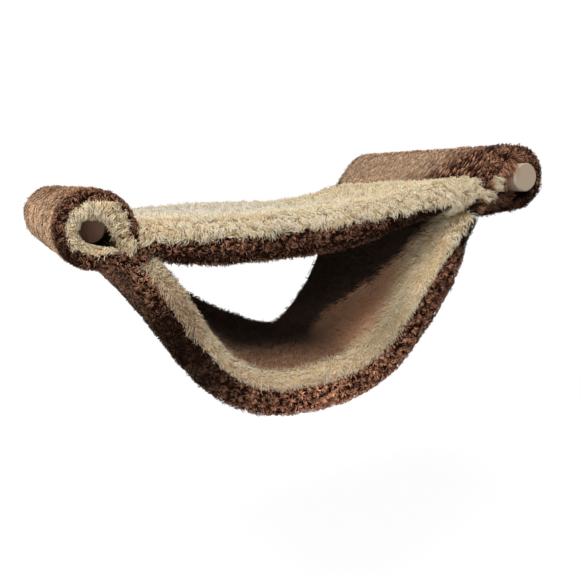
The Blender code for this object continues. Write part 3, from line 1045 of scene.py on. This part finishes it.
def build_bed(cloth, finishes):
    """The flat padded bed: cream plush on top, brown fleece below, curls and tufts on its edges."""
    cream_ground, brown_ground = finishes["cream_ground"], finishes["brown_ground"]
    top = cloth_piece("bed_top_cloth", "bed_top_plush", cream_ground, cloth.grain, 1)
    under = cloth_piece("bed_under_cloth", "bed_under_fleece", brown_ground, cloth.grain, 2)
    field = replace(PLUSH, per_cm2=27.0, width=1.1 * MM, lay=0.85, stray=0.5, rings=2)
    fringe = replace(PLUSH, per_cm2=120.0, lay=0.7, stray=0.6, alone=0.55, tuft=4.0 * MM, rings=4)
    back_fringe = replace(fringe, per_cm2=55.0, length=0.5)
    corner = replace(fringe, per_cm2=230.0, length=1.2)
    at_corner = partial(only_between, at_front, 0.112, 0.160)
    tufted = partial(only_between, front_face, -0.200, 0.116)
    fold = replace(NAP, per_cm2=60.0, length=0.5)
    over_edge = partial(combed, 0.6, 0.45)
    longer_at_right = partial(longer_at_seams, 0.0, 0.35)
    cream = [
        ("bed_top_pile", field, 11, off_edges, None),
        ("bed_front_fringe", fringe, 12, at_front, over_edge, longer_at_right),
        ("bed_back_fringe", back_fringe, 13, at_back, over_edge),
    ]
    brown = [
        ("bed_under_pile", replace(NAP, per_cm2=18.0, rings=2), 14, off_edges, None),
        ("bed_front_tufts", KNOBS, 15, tufted, None),
        ("bed_back_tufts", replace(KNOBS, per_cm2=50.0), 16, at_back, None),
    ]
    folded = [("bed_front_fold", fold, 17, partial(rest_of, front_face), partial(combed, 0.3, 0.0))]
    hanging = [("bed_corner_fringe", corner, 18, at_corner, partial(combed, 0.3, 0.9))]
    under_coat = coat(cloth, under, brown, finishes["fleece"], BROWN)
    under_coat += coat(cloth, under, folded, finishes["fold"], BROWN)
    under_coat += coat(cloth, under, hanging, finishes["plush"], CREAM)
    coat(cloth, top, cream, finishes["plush"], CREAM)


def dip_back(piece):
    """Lower the lining's back edge where the sling is drawn into a V."""
    places = vertex_rows(piece.data, "co")
    normals = vertex_rows(piece.data, "normal")
    share = smooth(places[:, 1], 0.095, 0.128) * smooth(normals[:, 2], 0.0, 0.4)
    share *= np.exp(-(((places[:, 0] - 0.041) / 0.028) ** 2))
    places[:, 2] -= 4 * MM * share
    set_places(piece.data, places)


def build_sling(cloth, finishes):
    """The deep padded sling: cream plush inside, brown fleece outside."""
    lining_ground, brown_ground = finishes["lining_ground"], finishes["brown_ground"]
    grain = cloth.grain
    inner = cloth_piece(
        "sling_lining_cloth",
        "sling_lining_plush",
        lining_ground,
        grain,
        3,
        height=1.6 * MM,
        span=24 * MM,
    )
    outer = cloth_piece("sling_outer_cloth", "sling_outer_fleece", brown_ground, grain, 4)
    dip_back(inner)
    down_slope = partial(brushed, (0.0, 0.45, -0.65))
    down_and_out = partial(combed, 0.3, 0.7)
    closing = partial(longer_at_seams, 0.5, 0.9)
    field = replace(PLUSH, length=0.9, stray=0.4, streak=0.5)
    near_field = replace(field, per_cm2=26.0)
    far_field = replace(field, per_cm2=16.0, width=0.8 * MM)
    lip = replace(PLUSH, per_cm2=120.0, length=0.62, width=0.6 * MM, lay=0.7)
    lip = replace(lip, stray=0.3, alone=0.9, wave=0.4 * MM, droop=0.0)
    low_lip = replace(lip, per_cm2=90.0, length=0.25, lay=0.9)
    tall_lip = replace(lip, per_cm2=150.0, length=1.1, lay=0.35)
    left_corner = partial(only_between, at_front, -0.160, -0.122)
    cream = [
        ("sling_lining_near_pile", near_field, 21, partial(in_half, False), down_slope),
        ("sling_lining_far_pile", far_field, 29, partial(in_half, True), down_slope),
        ("sling_front_lip", lip, 22, at_front, down_and_out, closing),
        ("sling_back_lip", low_lip, 23, at_back, down_and_out),
        ("sling_left_corner", tall_lip, 28, left_corner, down_and_out),
    ]
    underside = replace(NAP, per_cm2=17.0, length=0.5, rings=2)
    fold = replace(underside, per_cm2=60.0, rings=3)
    brown = [
        ("sling_outer_pile", underside, 24, off_edges, None),
        ("sling_front_tufts", KNOBS, 25, sling_face, None),
        ("sling_front_fold", fold, 27, partial(rest_of, sling_face), partial(combed, 0.3, 0.0)),
        ("sling_back_tufts", replace(KNOBS, per_cm2=45.0), 26, at_back, None),
    ]
    coat(cloth, inner, cream, finishes["lining"], CREAM)
    coat(cloth, outer, brown, finishes["fleece"], BROWN)


@dataclass
class Sleeve:
    """What differs between the sleeves. An oval of cream pile is its middle and half sizes."""

    side: str
    seed: int
    around: float
    axis: float
    aim: tuple
    gap_way: tuple
    comb: tuple
    ovals: tuple
    hollow: float
    burst: float
    rim_length: float
    wrap_length: float
    wrap_way: tuple
    curled: float


LEFT_SLEEVE = Sleeve(
    side="left",
    seed=50,
    around=0.165,
    axis=-180 * MM,
    aim=(-186 * MM, 3 * MM),
    gap_way=(0.0, -1.0),
    comb=(0.0, -0.5, -0.6),
    ovals=(
        (-176.9 * MM, 1.5 * MM, 23.5 * MM, 18.5 * MM),
        (-164.0 * MM, -10.5 * MM, 11.0 * MM, 8.5 * MM),
    ),
    hollow=0.0,
    burst=0.6,
    rim_length=0.85,
    wrap_length=0.8,
    wrap_way=(0.0, -0.3, 0.0),
    curled=24 * MM,
)
RIGHT_SLEEVE = Sleeve(
    side="right",
    seed=70,
    around=0.190,
    axis=180 * MM,
    aim=(180 * MM, 0.0),
    gap_way=(0.75, -0.66),
    comb=(0.0, -0.35, 0.9),
    ovals=(
        (158.0 * MM, -2.5 * MM, 8.0 * MM, 5.0 * MM),
        (151.0 * MM, -11.5 * MM, 14.0 * MM, 3.6 * MM),
    ),
    hollow=13 * MM,
    burst=0.0,
    rim_length=0.6,
    wrap_length=1.5,
    wrap_way=(0.6, -0.8, -0.3),
    curled=45 * MM,
)


def hollow_mouth(piece, sleeve):
    """Pull the lining back from the front mouth where it gapes."""
    places = vertex_rows(piece.data, "co")
    near = 1.0 - smooth(places[:, 1], CLOTH_FRONT, CLOTH_FRONT + 25 * MM)
    places[:, 1] += sleeve.hollow * near * gap_share(sleeve, places)
    set_places(piece.data, places)


def build_sleeve(cloth, finishes, sleeve, brushed_sheen_places):
    """One sleeve: brown cover, cream lining, and the pile that closes round its mouths."""
    name = f"{sleeve.side}_sleeve"
    seed = sleeve.seed
    grain = cloth.grain
    fleece = fleece_pile(cloth, f"{name}_nap", brushed_sheen_places, 0.9, 0.22)
    ground = backing(f"{name}_ground", cloth.brown_deep, 0.3, cloth.brushed, brushed_sheen_places)
    mouth_ground = mouth_backing(cloth, f"{sleeve.side}_mouth_ground", sleeve.ovals)
    cover = cloth_piece(f"{name}_cover", f"{name}_fleece", ground, grain, 5)
    inner = cloth_piece(f"{name}_inner_cloth", f"{name}_lining", mouth_ground, grain, 6)
    hollow_mouth(inner, sleeve)
    short = replace(NAP, per_cm2=27.0, length=0.95, stray=0.1)
    short = replace(short, tuft=3.4 * MM, streak=0.25, mixed=0.25, pull=0.5)
    rim = replace(KNOBS, per_cm2=80.0, length=sleeve.rim_length, tuft=5.6 * MM)
    rim = replace(rim, burst=sleeve.burst, gather=sleeve.burst * 0.8, crown=sleeve.burst * 0.6)
    rim = replace(rim, stray=0.6, alone=0.3)
    back_rim = replace(rim, per_cm2=60.0, length=0.5)
    curls = replace(PLUSH, per_cm2=190.0, length=0.85, width=0.6 * MM, lay=0.55)
    curls = replace(curls, stray=0.5, alone=0.5, wave=0.8 * MM, droop=0.0, tuft=3.8 * MM)
    ring = replace(curls, droop=0.4)
    wrap = replace(NAP, per_cm2=170.0, length=sleeve.wrap_length, width=0.6 * MM)
    wrap = replace(wrap, flat=0.8, lay=0.8, stray=0.6, mixed=0.8)
    fringe = replace(wrap, length=2.5, stray=0.45, alone=0.6, droop=0.2)
    inwards = partial(towards, sleeve.aim, 0.7, 0.7)
    reach = partial(reaching, sleeve.aim)
    beside = partial(brushed, (0.25, -0.7, -0.8))
    wrap_way = partial(brushed, sleeve.wrap_way)
    rim_area = partial(rim_places, sleeve)
    brown = [
        (f"{name}_pile", short, seed, off_edges, partial(brushed, sleeve.comb)),
        (f"{name}_front_rim", rim, seed + 1, rim_area, partial(rim_way, sleeve)),
        (f"{name}_back_rim", back_rim, seed + 2, at_back, None),
    ]
    over_cover = [(f"{name}_outer_curls", curls, seed + 5, partial(over_rim, sleeve), inwards)]
    ovals = partial(at_mouths, sleeve, True)
    off_ovals = partial(at_mouths, sleeve, False)
    gap = partial(over_gap, sleeve)
    in_mouth = [(f"{name}_mouth_curls", ring, seed + 3, ovals, inwards, reach)]
    turned_in = []
    if sleeve.hollow:
        turned_in.append((f"{name}_mouth_fringe", fringe, seed + 6, gap, beside))
    turned_in.append((f"{name}_mouth_wrap", wrap, seed + 4, off_ovals, wrap_way))
    cover_coat = coat(cloth, cover, brown, fleece, BROWN)
    cover_coat += coat(cloth, cover, over_cover, finishes["plush"], CREAM)
    mouth_coat = coat(cloth, inner, in_mouth, finishes["plush"], CREAM)
    mouth_coat += coat(cloth, inner, turned_in, fleece, BROWN)


def build_fillings():
    """Loose white filling inside the bed and the sling."""
    material = filling_finish()
    for part_name in ("bed", "sling"):
        name = f"{part_name}_filling"
        mesh = rebuilt(f"{part_name}_wadding", name, 4 * MM)
        piece = new_piece(name, mesh, "cloth", material)
        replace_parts(piece, f"{part_name}_wadding")


def dress_nodes(ending, material):
    """The finish of every CAD solid whose name ends so."""
    for name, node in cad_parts.items():
        if name.endswith(ending):
            node.data.materials.clear()
            node.data.materials.append(material)


# Stage


def build_camera():
    """The photo's view, from a little above the dowels and to the left of the middle."""
    right = CAMERA_RIGHT.normalized()
    ahead = (CAMERA_AHEAD - right * CAMERA_AHEAD.dot(right)).normalized()
    lens = bpy.data.cameras.new("camera")
    lens.sensor_width = CAMERA_SENSOR
    lens.lens = CAMERA_LENS
    camera = linked("camera", lens)
    turn = Matrix((right, right.cross(ahead), -ahead)).transposed().to_4x4()
    camera.matrix_world = Matrix.Translation(CAMERA_SPOT) @ turn
    bpy.context.scene.camera = camera


def build_lamp(name, spot, size, power):
    """A square soft lamp that looks at the hammock."""
    lamp = bpy.data.lights.new(name, "AREA")
    lamp.shape = "SQUARE"
    lamp.size = size
    lamp.energy = power
    aim = Vector((0.0, 0.0, -0.06)) - Vector(spot)
    turn = aim.to_track_quat("-Z", "Y").to_matrix().to_4x4()
    linked(name, lamp).matrix_world = Matrix.Translation(spot) @ turn


def seen_directly(nodes):
    """1 for the camera's own rays and those that gloss or glass sends on."""
    ways = [
        nodes.add("ShaderNodeLightPath", output=name)
        for name in ("Is Camera Ray", "Is Glossy Ray", "Is Transmission Ray")
    ]
    return ways[0].larger(ways[1]).larger(ways[2])


def blend(nodes, share, first, second):
    """A shader between two shaders."""
    return nodes.add("ShaderNodeMixShader", sockets={0: share, 1: first, 2: second})


def floor_finish():
    """White paper that keeps the hammock's shadow and runs into a white background."""
    finish = Finish("studio_floor")
    across = finish.along("X")
    depth = finish.along("Y")
    far = (across * across + depth * depth) ** 0.5
    paper = finish.add("ShaderNodeBsdfDiffuse", sockets={"Color": (0.30, 0.30, 0.30, 1.0)})
    glow = finish.add("ShaderNodeEmission", sockets={"Strength": 0.91})
    white = finish.add("ShaderNodeEmission", sockets={"Strength": 1.0})
    near = finish.add("ShaderNodeAddShader", sockets={0: paper, 1: glow})
    seen = blend(finish, far.ramp(0.45, 0.95), near, white)
    mixed = blend(finish, seen_directly(finish), paper, seen)
    finish.add("ShaderNodeOutputMaterial", sockets={"Surface": mixed})
    return finish.material


def build_floor(drop):
    """A wide round floor below the hammock."""
    radius = 2.4
    sides = 96
    turns = [2 * math.pi * i / sides for i in range(sides)]
    ring = [(radius * math.cos(turn), radius * math.sin(turn), -drop) for turn in turns]
    mesh = bpy.data.meshes.new("studio_floor")
    mesh.from_pydata(ring, [], [range(sides)])
    mesh.materials.append(floor_finish())
    floor = linked("studio_floor", mesh)


def build_sky(strength):
    """Even grey room light, and white where the camera sees it."""
    world = bpy.data.worlds.new("studio")
    bpy.context.scene.world = world
    nodes = Nodes(world)
    grey = {"Strength": strength, "Color": (0.97, 0.98, 1.0, 1.0)}
    white = {"Strength": 1.0, "Color": (1.0, 1.0, 1.0, 1.0)}
    room = nodes.add("ShaderNodeBackground", sockets=grey)
    seen = nodes.add("ShaderNodeBackground", sockets=white)
    mixed = blend(nodes, seen_directly(nodes), room, seen)
    nodes.add("ShaderNodeOutputWorld", sockets={"Surface": mixed})


# Operators


class HAMMOCK_OT_bed(bpy.types.Operator):
    """Make the bed's two cloths and their pile"""

    bl_idname = "hammock.bed"
    bl_label = "Bed"

    def execute(self, context):
        cloth = context.scene.hammock_cloth
        build_bed(cloth, shared_finishes(cloth))
        return {"FINISHED"}


class HAMMOCK_OT_sling(bpy.types.Operator):
    """Make the sling's two cloths and their pile"""

    bl_idname = "hammock.sling"
    bl_label = "Sling"

    def execute(self, context):
        cloth = context.scene.hammock_cloth
        build_sling(cloth, shared_finishes(cloth))
        return {"FINISHED"}


class HAMMOCK_OT_sleeves(bpy.types.Operator):
    """Make both sleeves with their linings and pile"""

    bl_idname = "hammock.sleeves"
    bl_label = "Sleeves"

    def execute(self, context):
        cloth = context.scene.hammock_cloth
        shared = shared_finishes(cloth)
        build_sleeve(cloth, shared, LEFT_SLEEVE, left_brushed_sheen)
        build_sleeve(cloth, shared, RIGHT_SLEEVE, right_brushed_sheen)
        return {"FINISHED"}


class HAMMOCK_OT_filling(bpy.types.Operator):
    """Make the loose filling of the bed and the sling"""

    bl_idname = "hammock.filling"
    bl_label = "Filling"

    def execute(self, context):
        build_fillings()
        return {"FINISHED"}


class HAMMOCK_OT_threads(bpy.types.Operator):
    """Finish the seam and edge threads"""

    bl_idname = "hammock.threads"
    bl_label = "Threads"

    def execute(self, context):
        dress_nodes("thread", thread_finish())
        return {"FINISHED"}


class HAMMOCK_OT_dowels(bpy.types.Operator):
    """Finish the two wooden dowels"""

    bl_idname = "hammock.dowels"
    bl_label = "Dowels"

    def execute(self, context):
        wood = context.scene.hammock_wood
        for name, end_colour in (("left_dowel", wood.shadowed), ("right_dowel", wood.cut)):
            dress_nodes(name, wood_finish(wood, f"{name}_wood", name, end_colour))
        return {"FINISHED"}


class HAMMOCK_OT_stage(bpy.types.Operator):
    """Make the camera, the lamps, the floor and the room light"""

    bl_idname = "hammock.stage"
    bl_label = "Stage"

    def execute(self, context):
        stage = context.scene.hammock_stage
        context.scene.view_settings.view_transform = "Standard"
        build_camera()
        build_lamp("key_lamp", (-0.60, -0.72, 1.30), 0.7, stage.key_power)
        build_lamp("fill_lamp", (-0.70, -1.22, 0.0), 0.9, stage.fill_power)
        build_floor(stage.floor_drop)
        build_sky(stage.sky)
        return {"FINISHED"}


class HAMMOCK_PT_panel(bpy.types.Panel):
    """The hammock's pieces and settings"""

    bl_idname = "HAMMOCK_PT_panel"
    bl_label = "Small Pet Hammock"
    bl_space_type = "VIEW_3D"
    bl_region_type = "UI"
    bl_category = "Hammock"

    def draw(self, context):
        scene = context.scene
        for group in (scene.hammock_cloth, scene.hammock_wood, scene.hammock_stage):
            box = self.layout.box()
            for name in group.__annotations__:
                box.prop(group, name)
        for operator in OPERATORS:
            self.layout.operator(operator.bl_idname)


OPERATORS = (
    HAMMOCK_OT_stage,
    HAMMOCK_OT_bed,
    HAMMOCK_OT_sling,
    HAMMOCK_OT_sleeves,
    HAMMOCK_OT_filling,
    HAMMOCK_OT_threads,
    HAMMOCK_OT_dowels,
)
SETTINGS = {
    "hammock_cloth": HammockClothSettings,
    "hammock_wood": HammockWoodSettings,
    "hammock_stage": HammockStageSettings,
}


def register():
    """Make the settings, the operators and the panel known."""
    for name, group in SETTINGS.items():
        bpy.utils.register_class(group)
        setattr(bpy.types.Scene, name, bpy.props.PointerProperty(type=group))
    for operator in OPERATORS:
        bpy.utils.register_class(operator)
    bpy.utils.register_class(HAMMOCK_PT_panel)


def unregister():
    """Take away what register made known."""
    bpy.utils.unregister_class(HAMMOCK_PT_panel)
    for operator in reversed(OPERATORS):
        bpy.utils.unregister_class(operator)
    for name, group in SETTINGS.items():
        delattr(bpy.types.Scene, name)
        bpy.utils.unregister_class(group)


def main():
    """Build the whole hammock in its studio."""
    register()
    bpy.ops.hammock.stage()
    bpy.ops.hammock.filling()
    bpy.ops.hammock.bed()
    bpy.ops.hammock.sling()
    bpy.ops.hammock.sleeves()
    bpy.ops.hammock.threads()
    bpy.ops.hammock.dowels()


if __name__ == "__main__":
    main()
